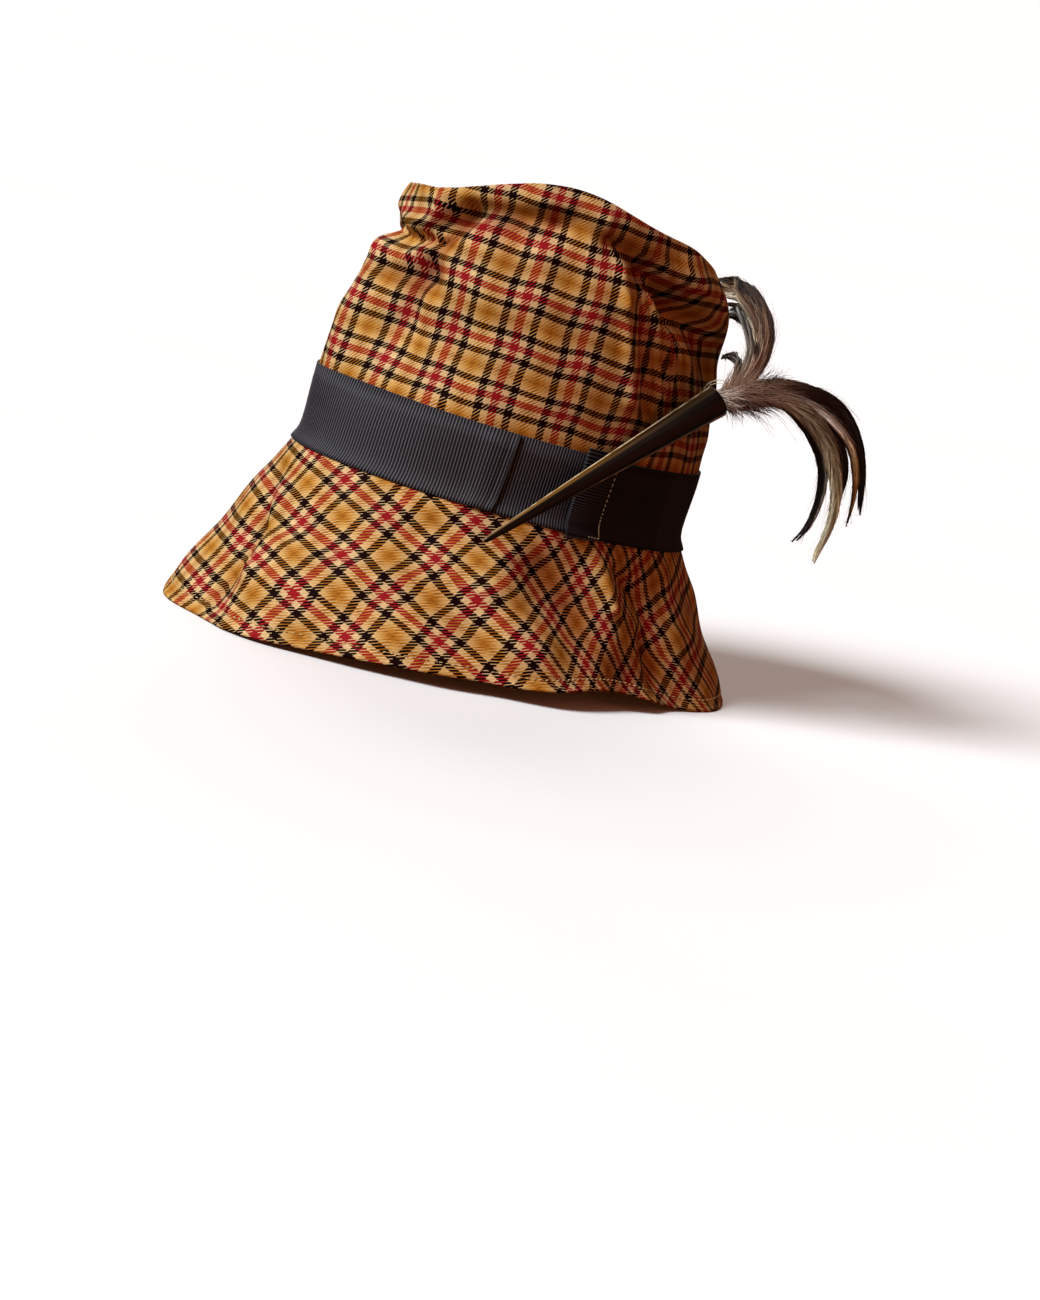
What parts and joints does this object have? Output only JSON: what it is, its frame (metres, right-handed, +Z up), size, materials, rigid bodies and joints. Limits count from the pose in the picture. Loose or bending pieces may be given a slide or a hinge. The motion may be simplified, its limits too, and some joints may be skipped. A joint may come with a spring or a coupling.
{
  "type": "trilby hat",
  "caption": "Soft checked cloth trilby with a creased crown, flared brim, ribbed ribbon band with a flat bow, and a horn holding a feather plume.",
  "frame": {"origin": "middle of the whole object's footprint, on the surface the brim rests on", "axes": "+Z up through the crown, -Y to the front of the hat, +X to the wearer's left, where the bow and horn are"},
  "size_m": [0.254, 0.3212, 0.2382],
  "materials": {
    "checked_cloth": "woven check in gold, black, cream and red",
    "ribbon": "ribbed, dark brown-black with a soft sheen",
    "horn": "polished dark horn with bronze streaks",
    "feathers": "brown and black hackles with straw edges and pale down"
  },
  "bodies": {
    "root": {"crown_side": "checked_cloth", "crown_tip": "checked_cloth", "brim": "checked_cloth", "ribbon_band": "ribbon", "bow_left": "ribbon", "bow_right": "ribbon", "bow_tab": "ribbon", "horn_holder": "horn", "feather_plume": "feathers"}
  },
  "joints": []
}
